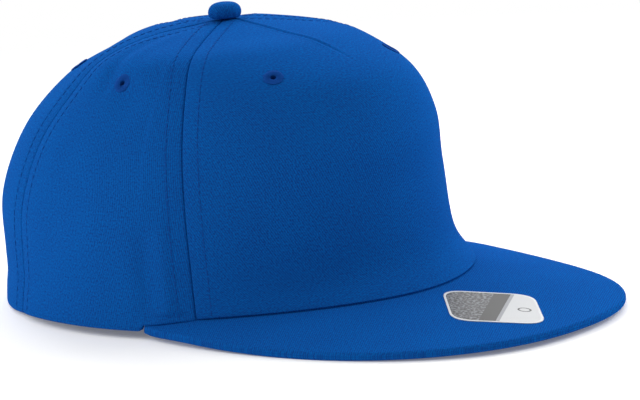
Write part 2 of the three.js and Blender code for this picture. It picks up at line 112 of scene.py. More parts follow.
links.new(blend.outputs["Shader"], nodes["Material Output"].inputs["Surface"])
floor.data.materials.append(floor_material)

world = bpy.data.worlds.new("white_room")
world.use_nodes = True
bpy.context.scene.world = world
nodes = world.node_tree.nodes
links = world.node_tree.links
nodes["Background"].inputs["Color"].default_value = room_white
direction = nodes.new("ShaderNodeTexCoord")
lobes = nodes.new("ShaderNodeMath")
for socket, toward, strength in ((0, front_direction, room_front), (1, (0, 0, 1), room_top)):
    facing_part = nodes.new("ShaderNodeVectorMath")
    facing_part.operation = "DOT_PRODUCT"
    facing_part.inputs[1].default_value = toward
    links.new(direction.outputs["Generated"], facing_part.inputs[0])
    lobe = nodes.new("ShaderNodeMapRange")
    lobe.interpolation_type = "SMOOTHSTEP"
    lobe.inputs["To Max"].default_value = strength
    links.new(facing_part.outputs["Value"], lobe.inputs["Value"])
    links.new(lobe.outputs["Result"], lobes.inputs[socket])
room_light = nodes.new("ShaderNodeMath")
room_light.inputs[1].default_value = room_base
links.new(lobes.outputs["Value"], room_light.inputs[0])
links.new(room_light.outputs["Value"], nodes["Background"].inputs["Strength"])
seen = nodes.new("ShaderNodeBackground")
seen.inputs["Color"].default_value = room_white
seen.inputs["Strength"].default_value = 1.0
ray = nodes.new("ShaderNodeLightPath")
choice = nodes.new("ShaderNodeMixShader")
links.new(ray.outputs["Is Camera Ray"], choice.inputs["Fac"])
links.new(nodes["Background"].outputs["Background"], choice.inputs[1])
links.new(seen.outputs["Background"], choice.inputs[2])
links.new(choice.outputs["Shader"], nodes["World Output"].inputs["Surface"])

# Lights
# Soft boxes stand at the sides and behind the cap, all weak beside the light of the room.
lit_place = Vector((0, 0, 0.05))

# Name, place in metres, width, height and power in watts
soft_boxes = [
    ("left_soft_box", (-1.25, 0.75, 0.75), 1.2, 1.2, 2.5),
    ("right_soft_box", (1.15, -0.45, 0.7), 1.0, 1.2, 12.5),
    ("back_soft_box", (0.95, 0.9, 0.9), 1.4, 0.9, 21.0),
    ("left_back_soft_box", (-0.75, 1.25, 0.8), 1.2, 1.0, 11.5),
]
for name, place, width, height, power in soft_boxes:
    bpy.ops.object.light_add(type="AREA", location=place)
    light = bpy.context.object
    light.name = name
    light.data.shape = "RECTANGLE"
    light.data.size = width
    light.data.size_y = height
    light.data.energy = power
    light.rotation_euler = (lit_place - Vector(place)).to_track_quat("-Z", "Y").to_euler()


# Front panel
# One wide panel of cotton twill, stiffened from behind, with a dart sewn down from the button.
# The crown is drawn by stations from the rim up, as shares of its reach and height, in millimetres.
front_reach = 102
side_reach = 87.8
back_reach = 99.5
crown_height = 108
panel_wall = 1.8
front_pinch = 0.026
back_pinch = 0.013
back_spread = 0.04
top_advance = 1.5
top_hole_reach = 3
side_seam_angle = math.radians(57.8)
side_seam_lean = math.radians(6.2)
back_seam_angle = math.radians(118.5)
back_seam_lean = math.radians(3)
peak_reach = 171.5
peak_half_width = 84.8
peak_thickness = 3
peak_tilt = math.radians(4)
peak_bow = 8.7
peak_bow_growth = 2.75
peak_corner_drop = 1.6
peak_corner_spread = 14
peak_fullness = 2.33
peak_corner_tuck = 8
peak_edge_turn = 1
peak_corner_angle = math.radians(71.2)
rim_drop = 2.2
rim_step_start = 0.6
rim_step_length = 2
rest_angle = math.radians(140)
gap = 0.3

# Reach at the front, side and back, then the rise at the front and at the back
crown_stations = np.array([
    (1, 1, 1, 0, 0),
    (0.885, 0.975, 1, 0.11, 0.19),
    (0.845, 0.95, 1.005, 0.37, 0.4),
    (0.857, 0.85, 0.89, 0.6, 0.625),
    (0.775, 0.69, 0.705, 0.79, 0.795),
    (0.513, 0.57, 0.5, 0.915, 0.893),
    (0.291, 0.335, 0.32, 0.955, 0.965),
    (0, 0, 0, 1, 1),
])

# Folds and dents: from an angle and a share of the way up to another, then breadth and depth in mm
crown_folds = [
    (70.5, 0.04, 71, 0.24, 3.1, -0.8),
    (65, 0.05, 66, 0.25, 2.6, 0.56),
    (84, 0.56, 97, 0.66, 6.1, -0.8),
    (99, 0.6, 106, 0.92, 3.5, -0.72),
    (95, 0.3, 112, 0.22, 10.5, -0.64),
    (-76, 0.05, -74, 0.22, 3.1, -0.8),
    (-86, 0.6, -98, 0.57, 6.1, -0.8),
    (-92, 0.26, -110, 0.33, 10.5, -0.72),
    (138, 0.62, 150, 0.72, 6.1, -0.72),
    (-141, 0.7, -152, 0.6, 6.1, -0.72),
    (60, 0.03, 69.5, 0.026, 1.3, -0.4),
    (61, 0.056, 70, 0.05, 1.5, 0.2),
    (-60, 0.035, -69, 0.03, 1.3, -0.35),
    (80, 0.1, 83, 0.44, 4.5, -0.22),
    (104, 0.08, 101, 0.4, 5, -0.25),
    (-101, 0.1, -97, 0.42, 5, -0.25),
    (88, 0.74, 84, 0.9, 4, -0.25),
]
hem_height = 13
hem_breadth = 5
hem_depth = 0.5
hem_fade = math.radians(20)

button_low, button_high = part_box("button")
crown_middle_y = (button_low.y + button_high.y) * 500 + top_advance


def ease(value):
    return (1 - np.cos(np.pi * np.clip(value, 0, 1))) / 2


def mix(a, b, share):
    return a + (b - a) * share


def station_value(column, share):
    values = crown_stations[:, column]
    padded = np.concatenate(([2 * values[0] - values[1]], values, [2 * values[-1] - values[-2]]))
    place = np.clip(share, 0, 1) * (len(values) - 1)
    index = np.minimum(place.astype(int), len(values) - 2)
    f = place - index
    p0, p1, p2, p3 = (padded[index + k] for k in range(4))
    bend = 2 * p0 - 5 * p1 + 4 * p2 - p3
    twist = 3 * p1 - p0 - 3 * p2 + p3
    return p1 + 0.5 * ((p2 - p0) * f + bend * f**2 + twist * f**3)


def plan_point(angle, share):
    c, s = np.cos(angle), np.sin(angle)
    oval = 1 / np.hypot(c / np.where(c >= 0, front_reach, back_reach), s / side_reach)
    pinch = np.where(c >= 0, front_pinch, back_pinch) * (1 - share**2)
    reach = oval * (1 - pinch * np.sin(2 * angle) ** 2)
    return -reach * s * (1 - back_spread * c * (1 - share)), -reach * c


corner_x, corner_y = plan_point(np.array(peak_corner_angle), np.array(0.0))
corner_x = -corner_x


def peak_edge(turn):
    out = np.abs(np.cos(turn)) ** (2 / peak_fullness)
    wide = np.abs(np.sin(turn)) ** (2 / peak_fullness)
    x = peak_half_width * wide - (peak_half_width - corner_x) * (1 - out) ** peak_corner_tuck
    return -np.sign(turn) * x, corner_y - (peak_reach + corner_y) * out


def peak_relief(x, y):
    bow = peak_bow * (np.abs(x) / peak_half_width) ** peak_bow_growth
    from_corner = np.hypot(np.abs(x) - corner_x, y - corner_y) / peak_corner_spread
    return math.tan(peak_tilt) * (y + peak_reach) - bow - peak_corner_drop * np.exp(-from_corner**2)


def peak_lines(turns):
    """Places along the peak's edge and along its root, under the inside of the crown."""
    edge_x, edge_y = peak_edge(turns)
    root_x, root_y = plan_point(peak_corner_angle * turns / (np.pi / 2), 0 * turns)
    within = 1 - panel_wall / np.hypot(root_x, root_y)
    return edge_x, edge_y, root_x * within, root_y * within


# The peak's underside touches the table where its edge starts to turn, at the lowest place in front
edge_x, edge_y, root_x, root_y = peak_lines(np.radians(np.linspace(-90, 90, 37)))
shoulder = 1 - np.minimum(peak_edge_turn / np.hypot(edge_x - root_x, edge_y - root_y), 0.4)
low_x, low_y = mix(root_x, edge_x, shoulder), mix(root_y, edge_y, shoulder)
peak_tip_height = peak_thickness - peak_relief(low_x, low_y).min()


def peak_top(x, y):
    return peak_tip_height + peak_relief(x, y)


def rim_height(angle, x, y):
    turn = np.abs(np.arctan2(np.sin(angle), np.cos(angle)))
    on_peak = peak_top(x, y) + gap
    hang_start = peak_top(corner_x, corner_y) + gap - rim_drop
    behind = np.maximum(turn - peak_corner_angle, 0) / (rest_angle - peak_corner_angle)
    hanging = hang_start * (1 - ease(behind**2))
    past = (turn - peak_corner_angle) * side_reach - rim_step_start
    return mix(on_peak, hanging, ease(past / rim_step_length))


def smooth_crown(angle, share):
    c = np.cos(angle)
    front_part = np.where(c > 0, c * c, 0)
    back_part = np.where(c < 0, c * c, 0)
    reach = (front_part * station_value(0, share) + back_part * station_value(2, share)
             + (1 - front_part - back_part) * station_value(1, share))
    rise = mix(station_value(4, share), station_value(3, share), (1 + c) / 2)
    x, y = plan_point(angle, share)
    rim = rim_height(angle, *plan_point(angle, np.zeros_like(share)))
    y = y * reach - top_advance * np.maximum(rise, 0) ** 1.5
    return np.stack([x * reach, y, mix(rim, crown_height, rise)], -1)


def crown_normal(angle, share):
    step = 1e-3
    here = np.minimum(share, 1 - 2 * step)
    around = smooth_crown(angle + step, here) - smooth_crown(angle - step, here)
    up = smooth_crown(angle, here + step) - smooth_crown(angle, np.maximum(here - step, 0))
    normal = np.cross(up, around)
    return normal / np.linalg.norm(normal, axis=-1, keepdims=True)


def fold_offset(angle, share, point):
    offset = np.zeros_like(share)
    reach = np.hypot(point[..., 0], point[..., 1])
    for start, up, end, up_to, breadth, depth in crown_folds:
        nearest = np.full_like(share, np.inf)
        for along in np.linspace(0, 1, 13):
            turned = angle - math.radians(mix(start, end, along))
            away = np.arctan2(np.sin(turned), np.cos(turned)) * reach
            above = (share - mix(up, up_to, along)) * crown_height
            nearest = np.minimum(nearest, np.hypot(away, above))
        offset += depth * np.exp(-((nearest / breadth) ** 2))
    rim = rim_height(angle, *plan_point(angle, np.zeros_like(share)))
    turn = np.abs(np.arctan2(np.sin(angle), np.cos(angle)))
    behind_peak = ease((turn - peak_corner_angle) / hem_fade)
    hem = np.exp(-(((point[..., 2] - rim - hem_height) / hem_breadth) ** 2))
    return offset - hem_depth * hem * behind_peak


def crown_point(angle, share, outward, folded=True):
    """Place on the crown in metres, moved out of the cloth by so many millimetres."""
    angle, share = np.broadcast_arrays(np.asarray(angle, float), np.asarray(share, float))
    point = smooth_crown(angle, share)
    outward = outward + (fold_offset(angle, share, point) if folded else 0)
    normal = crown_normal(angle, share)
    at_rim = share <= 0
    level = normal * [1, 1, 0]
    level /= np.linalg.norm(level, axis=-1, keepdims=True)
    point = point + np.where(at_rim[..., None], level, normal) * np.asarray(outward)[..., None]
    rim = rim_height(angle, point[..., 0], point[..., 1])
    point[..., 2] = np.where(at_rim, rim, point[..., 2])
    point[..., 1] += crown_middle_y
    return point / 1000


def share_where(angle, low, high, is_under):
    """Share of the way up between two others at which a test of the crown's place stops being true."""
    low, high = np.full_like(angle, low), np.full_like(angle, high)
    for _ in range(30):
        middle = (low + high) / 2
        under = is_under(smooth_crown(angle, middle))
        low, high = np.where(under, middle, low), np.where(under, high, middle)
    return (low + high) / 2


def share_at_reach(angle, reach):
    return share_where(angle, 0.5, 1, lambda at: np.hypot(at[..., 0], at[..., 1] + top_advance) > reach)


# The cloth is drawn in between a seam and its row of topstitching, and rolls over at the seam
seam_roll = 0.9
rim_slot = 0.95
rim_slot_depth = 1.6
thinnest = 0.15
seam_draw = 0.7
seam_draw_breadth = 6.6
seam_draw_softness = 0.03
stitch_inset = 6.2
stitch_dip = 0.14
stitch_dip_breadth = 0.9


def roll(distance, radius):
    """How far a rounded edge lies below the face, at a distance in from the edge."""
    inside = np.clip(1 - distance / radius, 0, 1)
    return radius * (1 - np.sqrt(np.maximum(1 - inside**2, 0)))


def seam_relief(distance):
    left = 1 - distance / seam_draw_breadth
    drawn = -seam_draw * (left + np.sqrt(left**2 + seam_draw_softness)) / 2
    dip = -stitch_dip * np.exp(-(((distance - stitch_inset) / stitch_dip_breadth) ** 2))
    return drawn + dip - roll(distance, seam_roll)


def spaced(length, near, far, edges=(True, True)):
    """Shares of a length, close together at its ends and wider apart in the middle."""
    close = np.array([0, 0.1, 0.3, 0.55, 0.85, 1.2, 1.7]) * near
    start = close if edges[0] else close[:1]
    end = close if edges[1] else close[:1]
    middle = np.linspace(start[-1], length - end[-1], int((length - start[-1] - end[-1]) / far))
    return np.unique(np.concatenate([start, middle, length - end])) / length


def places_of(piece):
    places = np.zeros(len(piece.data.vertices) * 3, np.float32)
    piece.data.vertices.foreach_get("co", places)
    return places.reshape(-1, 3).astype(float)


def move_to(piece, places):
    piece.data.vertices.foreach_set("co", places.astype(np.float32).ravel())


def write_map(piece, layer, chart):
    """Fill a map of a piece from one place on the chart for each vertex."""
    corners = np.zeros(len(piece.data.loops), int)
    piece.data.loops.foreach_get("vertex_index", corners)
    layer.data.foreach_set("uv", chart[corners].astype(np.float32).ravel())


def choose(*pieces):
    """Choose these pieces and no others, the last one as the active one."""
    bpy.ops.object.select_all(action="DESELECT")
    for piece in pieces:
        piece.select_set(True)
        bpy.context.view_layer.objects.active = piece


def sheet_of(name, outer, inner, chart=None, map_name="cloth_map"):
    """A closed sheet from two grids of places in metres, with a map in metres along the cloth."""
    across, up = outer.shape[:2]
    choose()
    bpy.ops.mesh.primitive_grid_add(x_subdivisions=across - 1, y_subdivisions=up - 1, size=2)
    piece = bpy.context.object
    piece.name = name
    thickness = piece.modifiers.new("thickness", "SOLIDIFY")
    thickness.thickness = 0.01
    bpy.ops.object.modifier_apply(modifier="thickness")
    places = np.concatenate([grid.transpose(1, 0, 2).reshape(-1, 3) for grid in (outer, inner)])
    move_to(piece, places)
    if chart is None:
        steps = np.linalg.norm(np.diff(outer, axis=0), axis=-1)
        along = np.concatenate([np.zeros((1, up)), np.cumsum(steps, axis=0)])
        along -= along[across // 2]
        climb = np.linalg.norm(np.diff(outer, axis=1), axis=-1).mean(axis=0)
        height = np.broadcast_to(np.concatenate([[0], np.cumsum(climb)]), (across, up))
        chart = [np.stack([along, height], -1)] * 2
    chart = np.concatenate([grid.transpose(1, 0, 2).reshape(-1, 2) for grid in chart])
    piece.data.uv_layers.active.name = map_name
    write_map(piece, piece.data.uv_layers.active, chart)
    piece.data.update()
    bpy.ops.object.mode_set(mode="EDIT")
    bpy.ops.mesh.select_all(action="SELECT")
    bpy.ops.mesh.normals_make_consistent(inside=False)
    bpy.ops.object.mode_set(mode="OBJECT")
    bpy.ops.object.shade_smooth_by_angle(angle=math.radians(50))
    return piece


def sew_panel(name, seams, width, lower=None, across=None, relief=None, slot=False):
    """A crown panel between two seams, each an angle as a function of the share of the way up."""
    start_seam, end_seam = seams
    if across is None:
        across = spaced(width, 0.8, 1.1)
    rows = spaced(150, 0.8, 1.2, (True, False))
    u, v = np.meshgrid(across, rows, indexing="ij")
    middle = mix(start_seam(v), end_seam(v), u)
    low = np.zeros_like(u) if lower is None else np.broadcast_to(lower(across)[:, None], u.shape)
    share = mix(low, share_at_reach(middle, top_hole_reach), v)
    start, end = start_seam(share), end_seam(share)
    angle = mix(start, end, u)
    base = smooth_crown(angle, share)
    reach = np.hypot(base[..., 0], base[..., 1])
    to_start = u * np.abs(end - start) * reach
    to_end = (1 - u) * np.abs(end - start) * reach
    rim_steps = np.linalg.norm(np.diff(base, axis=1), axis=-1)
    from_rim = np.concatenate([np.zeros((len(across), 1)), np.cumsum(rim_steps, axis=1)], axis=1)
    turned_in = roll(from_rim, seam_roll)
    if slot:
        turned_in = rim_slot_depth * (1 - ease(2 * from_rim / rim_slot - 1))
    outward = seam_relief(to_start) + seam_relief(to_end) - turned_in
    if relief is not None:
        outward = outward + relief(angle, share, base)
    outward = np.maximum(outward, thinnest - panel_wall)
    return sheet_of(name, crown_point(angle, share, outward), crown_point(angle, share, -panel_wall))


def right_side_seam(share):
    return side_seam_angle + side_seam_lean * share


def left_side_seam(share):
    return -right_side_seam(share)


def right_back_seam(share):
    return back_seam_angle + back_seam_lean * share


def left_back_seam(share):
    return -right_back_seam(share)


def right_centre_back(share):
    return np.pi * np.ones_like(share)


def left_centre_back(share):
    return -right_centre_back(share)


# Small round holes: two in the front panel, beside the dart, and one in the middle of each other panel
eyelet_up = 0.625
eyelet_hole = 0.00115
through_wall = 0.012
side_seam_there, back_seam_there = right_side_seam(eyelet_up), right_back_seam(eyelet_up)
eyelet_angles = {
    "front_right": side_seam_there / 2,
    "front_left": -side_seam_there / 2,
    "side_right": (side_seam_there + back_seam_there) / 2,
    "side_left": -(side_seam_there + back_seam_there) / 2,
    "back_right": (back_seam_there + math.pi) / 2,
    "back_left": -(back_seam_there + math.pi) / 2,
}


def eyelet_stand(which):
    """Place and turn of an eyelet on the cloth."""
    angle, share = np.array(eyelet_angles[which]), np.array(eyelet_up)
    turn = Vector(crown_normal(angle, share)).to_track_quat("Z", "Y").to_matrix().to_4x4()
    return Matrix.Translation(Vector(crown_point(angle, share, 0))) @ turn


def cut_round(piece, stand, radius, depth):
    """Cut a round hole through a piece."""
    choose()
    bpy.ops.mesh.primitive_cylinder_add(vertices=24, radius=radius, depth=depth)
    cutter = bpy.context.object
    cutter.matrix_world = stand
    bpy.context.view_layer.update()
    bpy.context.view_layer.objects.active = piece
    hole = piece.modifiers.new("hole", "BOOLEAN")
    hole.operation = "DIFFERENCE"
    hole.solver = "EXACT"
    hole.object = cutter
    bpy.ops.object.modifier_apply(modifier="hole")
    bpy.data.objects.remove(cutter)


dart_start = 0.62
dart_depth = 0.45
dart_breadth = 0.8
dart_fade = 0.12
dart_ridge = 0.16
dart_ridge_away = 1.7
dart_ridge_breadth = 0.8
dart_stitch = 2.5


def dart_relief(angle, share, point):
    away = np.abs(angle) * np.hypot(point[..., 0], point[..., 1])
    deep = ease((share - dart_start) / dart_fade)
    groove = dart_depth * np.exp(-((away / dart_breadth) ** 2))
    ridge = dart_ridge * np.exp(-(((away - dart_ridge_away) / dart_ridge_breadth) ** 2))
    return deep * (ridge - groove)


front_width = 190
front_across = spaced(front_width, 0.8, 1.25)
dart_columns = 0.5 + np.array([-4, -3.3, -2.8, -2.3, -1.8, -1.4, -1, -0.6, -0.3, 0,
                               0.3, 0.6, 1, 1.4, 1.8, 2.3, 2.8, 3.3, 4]) / front_width
beside_dart = front_across[np.abs(front_across - 0.5) > 0.024]
front_across = np.unique(np.concatenate([beside_dart, dart_columns]))
front_panel = sew_panel("front_panel_cloth", (left_side_seam, right_side_seam), front_width,
                        across=front_across, relief=dart_relief, slot=True)
cut_round(front_panel, eyelet_stand("front_right"), eyelet_hole, through_wall)
cut_round(front_panel, eyelet_stand("front_left"), eyelet_hole, through_wall)

# Twill: fine slanting ribs, broken up by thick and thin yarns, with a little uneven dye over the cloth
weave = bpy.data.node_groups.new("twill_weave", "ShaderNodeTree")
for socket, way, kind in (("Chart", "INPUT", "Vector"), ("Rib Scale", "INPUT", "Float"),
                          ("Yarn Scale", "INPUT", "Float"), ("Slant", "INPUT", "Float"),
                          ("Height", "OUTPUT", "Float"), ("Tone", "OUTPUT", "Float")):
    weave.interface.new_socket(socket, in_out=way, socket_type=f"NodeSocket{kind}")
nodes = weave.nodes
links = weave.links
group_in = nodes.new("NodeGroupInput")
group_out = nodes.new("NodeGroupOutput")
slanted = nodes.new("ShaderNodeVectorRotate")
slanted.rotation_type = "Z_AXIS"
links.new(group_in.outputs["Chart"], slanted.inputs["Vector"])
links.new(group_in.outputs["Slant"], slanted.inputs["Angle"])
ribs = nodes.new("ShaderNodeTexWave")
ribs.inputs["Distortion"].default_value = 1.6
ribs.inputs["Detail"].default_value = 1
ribs.inputs["Detail Scale"].default_value = 2.5
links.new(slanted.outputs["Vector"], ribs.inputs["Vector"])
links.new(group_in.outputs["Rib Scale"], ribs.inputs["Scale"])
yarn = nodes.new("ShaderNodeTexNoise")
yarn.inputs["Detail"].default_value = 3
yarn.inputs["Roughness"].default_value = 0.6
links.new(group_in.outputs["Chart"], yarn.inputs["Vector"])
links.new(group_in.outputs["Yarn Scale"], yarn.inputs["Scale"])
raised = nodes.new("ShaderNodeMix")
raised.inputs["Factor"].default_value = 0.82
links.new(ribs.outputs["Fac"], raised.inputs["A"])
links.new(yarn.outputs["Fac"], raised.inputs["B"])
links.new(raised.outputs["Result"], group_out.inputs["Height"])
dye = nodes.new("ShaderNodeTexNoise")
dye.inputs["Scale"].default_value = 45
dye.inputs["Detail"].default_value = 4
links.new(group_in.outputs["Chart"], dye.inputs["Vector"])
toned = nodes.new("ShaderNodeMix")
toned.inputs["Factor"].default_value = 0.08
links.new(raised.outputs["Result"], toned.inputs["A"])
links.new(dye.outputs["Fac"], toned.inputs["B"])
stretched = nodes.new("ShaderNodeMapRange")
stretched.inputs["From Min"].default_value = 0.36
stretched.inputs["From Max"].default_value = 0.64
links.new(toned.outputs["Result"], stretched.inputs["Value"])
links.new(stretched.outputs["Result"], group_out.inputs["Tone"])


def two_shades(name, dark, light, roughness, reflection, bump_strength, bump_depth):
    """A material between two close shades, with the sockets that take its shade and its relief."""
    material = bpy.data.materials.new(name)
    material.use_nodes = True
    nodes = material.node_tree.nodes
    links = material.node_tree.links
    surface = nodes["Principled BSDF"]
    surface.inputs["Roughness"].default_value = roughness
    surface.inputs[reflection[0]].default_value = reflection[1]
    paint = nodes.new("ShaderNodeMix")
    paint.data_type = "RGBA"
    paint.inputs["A"].default_value = dark
    paint.inputs["B"].default_value = light
    links.new(paint.outputs["Result"], surface.inputs["Base Color"])
    bump = nodes.new("ShaderNodeBump")
    bump.inputs["Strength"].default_value = bump_strength
    bump.inputs["Distance"].default_value = bump_depth
    links.new(bump.outputs["Normal"], surface.inputs["Normal"])
    return material, paint.inputs["Factor"], bump.inputs["Height"]


def woven_material(name, dark, light, rib_scale, yarn_scale, slant, bump_depth):
    """A woven cloth in two close shades, read from the piece's own map."""
    material, shade, relief = two_shades(name, dark, light, 0.92, ("IOR", 1.03), 0.6, bump_depth)
    nodes = material.node_tree.nodes
    links = material.node_tree.links
    chart = nodes.new("ShaderNodeUVMap")
    chart.uv_map = "cloth_map"
    woven = nodes.new("ShaderNodeGroup")
    woven.node_tree = weave
    woven.inputs["Rib Scale"].default_value = rib_scale
    woven.inputs["Yarn Scale"].default_value = yarn_scale
    woven.inputs["Slant"].default_value = math.radians(slant)
    links.new(chart.outputs["UV"], woven.inputs["Chart"])
    links.new(woven.outputs["Tone"], shade)
    links.new(woven.outputs["Height"], relief)
    return material


def twill_material(name, slant):
    return woven_material(name, (0.006, 0.046, 0.232, 1), (0.003, 0.114, 0.43, 1), 380, 1300, slant, 0.00022)


twill = twill_material("royal_blue_twill", 28)
front_panel.data.materials.append(twill)
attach(front_panel, "root")
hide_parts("front_panel")


# Side panels
# Two softer panels of the same twill, sewn to the front panel along the side seams.
side_width = 95
side_twill = twill_material("royal_blue_side_twill", 12)
side_seams = {"right": (right_side_seam, right_back_seam), "left": (left_side_seam, left_back_seam)}
for side, seams in side_seams.items():
    side_panel = sew_panel(f"side_panel_{side}_cloth", seams, side_width)
    cut_round(side_panel, eyelet_stand(f"side_{side}"), eyelet_hole, through_wall)
    side_panel.data.materials.append(side_twill)
    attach(side_panel, "root")
    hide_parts(f"side_panel_{side}")


# Back panels
# Two panels that meet at the middle of the back, with the arch cut out of their lower edge.
arch_half_width = 40
arch_height = 47
arch_top_share = 0.7
back_width = 105


def in_arch(point, wider):
    """Whether places lie within the arch, or within one that is wider and higher by so much."""
    out = point[..., 0] / (arch_half_width + wider)
    up = np.maximum(point[..., 2], 0) / (arch_height + wider)
    return out**2 + up**2 <= 1


def arch_share(angle_at, across):
    """Share of the way up at which each column of a back panel meets the arch's edge."""
    low, high = np.zeros_like(across), np.full_like(across, arch_top_share)
    over_arch = np.abs(smooth_crown(angle_at(across, low), low)[..., 0]) < arch_half_width
    for _ in range(30):
        middle = (low + high) / 2
        under = in_arch(smooth_crown(angle_at(across, middle), middle), 0)
        low, high = np.where(under, middle, low), np.where(under, high, middle)
    return np.where(over_arch, (low + high) / 2, 0)


back_seams = {"right": (right_back_seam, right_centre_back), "left": (left_back_seam, left_centre_back)}
for side, seams in back_seams.items():
    def angle_at(across, share, seams=seams):
        return mix(seams[0](share), seams[1](share), across)

    foot = np.linspace(0.2, 0.9, 700)
    foot_x = np.abs(smooth_crown(angle_at(foot, 0 * foot), 0 * foot)[:, 0])
    foot = foot[np.argmin(np.abs(foot_x - arch_half_width))]
    before = spaced(foot * back_width, 0.8, 1.2, (True, False)) * foot
    beyond = foot + (1 - foot) * (1 - np.cos(np.linspace(0, np.pi / 2, 56)[1:]))
    final = 1 - np.array([0.55, 0.3, 0.1]) * 0.8 / back_width
    across = np.unique(np.concatenate([before, beyond[beyond < final[0]], final, [1]]))
    back_panel = sew_panel(f"back_panel_{side}_cloth", seams, back_width,
                           lower=lambda u: arch_share(angle_at, u), across=across)
    cut_round(back_panel, eyelet_stand(f"back_{side}"), eyelet_hole, through_wall)
    back_panel.data.materials.append(side_twill)
    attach(back_panel, "root")
    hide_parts(f"back_panel_{side}")


# Peak
# A stiff flat board covered in twill above and below, with a seam along the middle of its edge.
peak_edge_radius = 1.3
edge_seam_depth = 0.12
edge_seam_height = 0.2
turn_gathering = 1.15

spans = 1 - spaced(70, 0.8, 1.5, (True, False))[::-1]
turns = np.linspace(-1, 1, 241)
edge_x, edge_y, root_x, root_y = peak_lines(np.sign(turns) * np.abs(turns) ** turn_gathering * np.pi / 2)
run = np.hypot(edge_x - root_x, edge_y - root_y)
seam_span = 1 - np.minimum(edge_seam_depth / np.maximum(run, 1), 0.3)[:, None]
out = np.concatenate([np.broadcast_to(spans, (len(run), len(spans))), seam_span], axis=1)
x = mix(root_x[:, None], edge_x[:, None], out)
y = mix(root_y[:, None], edge_y[:, None], out)
from_edge = np.hypot(x - edge_x[:, None], y - edge_y[:, None])
down = roll(from_edge, peak_edge_radius)
down[:, -1] = (peak_thickness - edge_seam_height) / 2
top = peak_top(x, y) - down
bottom = peak_top(x, y) - peak_thickness + down
wrap = np.arcsin(np.clip(1 - from_edge / peak_edge_radius, 0, 1))
wrap = peak_edge_radius * (wrap - np.sin(wrap)) / np.maximum(run, 1)[:, None]
wrapped_x, wrapped_y = x + (edge_x - root_x)[:, None] * wrap, y + (edge_y - root_y)[:, None] * wrap
peak_chart = np.stack([wrapped_x, wrapped_y], -1) / 1000
peak = sheet_of("peak_cloth", np.stack([x, y + crown_middle_y, top], -1) / 1000,
                np.stack([x, y + crown_middle_y, bottom], -1) / 1000, [peak_chart, peak_chart])
peak_twill = twill_material("royal_blue_peak_twill", 60)
peak.data.materials.append(peak_twill)
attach(peak, "root")
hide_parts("peak")


# Button
# A flattened dome covered in twill that is gathered in under its edge, on the meeting of the seams.
button_middle = (button_low + button_high) / 2
button_radius = (button_high.x - button_low.x) / 2
button_height = button_high.z - button_low.z
button_profile = np.array([
    (0, 1), (0.2, 0.995), (0.4, 0.975), (0.6, 0.93), (0.77, 0.84), (0.9, 0.7), (0.97, 0.54),
    (1, 0.38), (0.985, 0.24), (0.94, 0.12), (0.86, 0.04), (0, 0.04),
])
gathers = 14
button_sunk = 0.0004
button_flattening = 0.93
gather_depth = 0.022

choose()
bpy.ops.mesh.primitive_uv_sphere_add(segments=84, ring_count=44, radius=1)
button = bpy.context.object
button.name = "button_cloth"
ball = places_of(button)
down = np.arccos(np.clip(ball[:, 2], -1, 1)) / np.pi
around = np.arctan2(ball[:, 1], ball[:, 0])
marks = np.linspace(0, 1, len(button_profile))
finer = np.linspace(0, 1, 200)
soft = np.stack([np.interp(finer, marks, button_profile[:, k]) for k in (0, 1)], -1)
for _ in range(30):
    soft[1:-1] = (soft[:-2] + 2 * soft[1:-1] + soft[2:]) / 4
wide = np.interp(down, finer, soft[:, 0]) * button_radius
lift = np.interp(down, finer, soft[:, 1]) * button_height * button_flattening
tuck = ease((down - 0.45) / 0.25) * ease((0.95 - down) / 0.1)
wide *= 1 - gather_depth * tuck * (1 + np.cos(gathers * around + np.sin(3 * around)))
ball[:, 0] = button_middle.x + wide * np.cos(around)
ball[:, 1] = button_middle.y + wide * np.sin(around)
ball[:, 2] = button_low.z + lift - button_sunk
move_to(button, ball)
over = np.concatenate([[0], np.cumsum(np.hypot(*(np.diff(soft, axis=0) * [button_radius, button_height]).T))])
over = np.interp(down, finer, over)
button_chart = np.stack([over * np.cos(around), over * np.sin(around)], -1)
button.data.uv_layers.active.name = "cloth_map"
write_map(button, button.data.uv_layers.active, button_chart)
bpy.ops.object.shade_smooth()
button.data.materials.append(twill)
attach(button, "root")
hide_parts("button")


# Eyelets
# Six rings of satin stitch round the small holes, each of threads laid side by side from hole to rim.
ring_middle = 0.00248
ring_breadth = 0.00138
ring_height = 0.00034
ring_lift = 0.00008
ring_threads = 38


def mottled_material(name, dark, light, speck_scale, roughness, reflection, bump_strength, bump_depth):
    """Two close shades in fine specks that also stand up a little, with a named reflection value."""
    material, shade, relief = two_shades(name, dark, light, roughness, reflection, bump_strength, bump_depth)
    nodes = material.node_tree.nodes
    links = material.node_tree.links
    place = nodes.new("ShaderNodeTexCoord")
    specks = nodes.new("ShaderNodeTexNoise")
    specks.inputs["Scale"].default_value = speck_scale
    specks.inputs["Detail"].default_value = 2
    links.new(place.outputs["Object"], specks.inputs["Vector"])
    links.new(specks.outputs["Fac"], shade)
    links.new(specks.outputs["Fac"], relief)
    return material


thread = mottled_material("royal_blue_thread", (0.006, 0.045, 0.22, 1), (0.009, 0.08, 0.36, 1),
                          2600, 0.6, ("IOR", 1.03), 0.4, 0.0001)

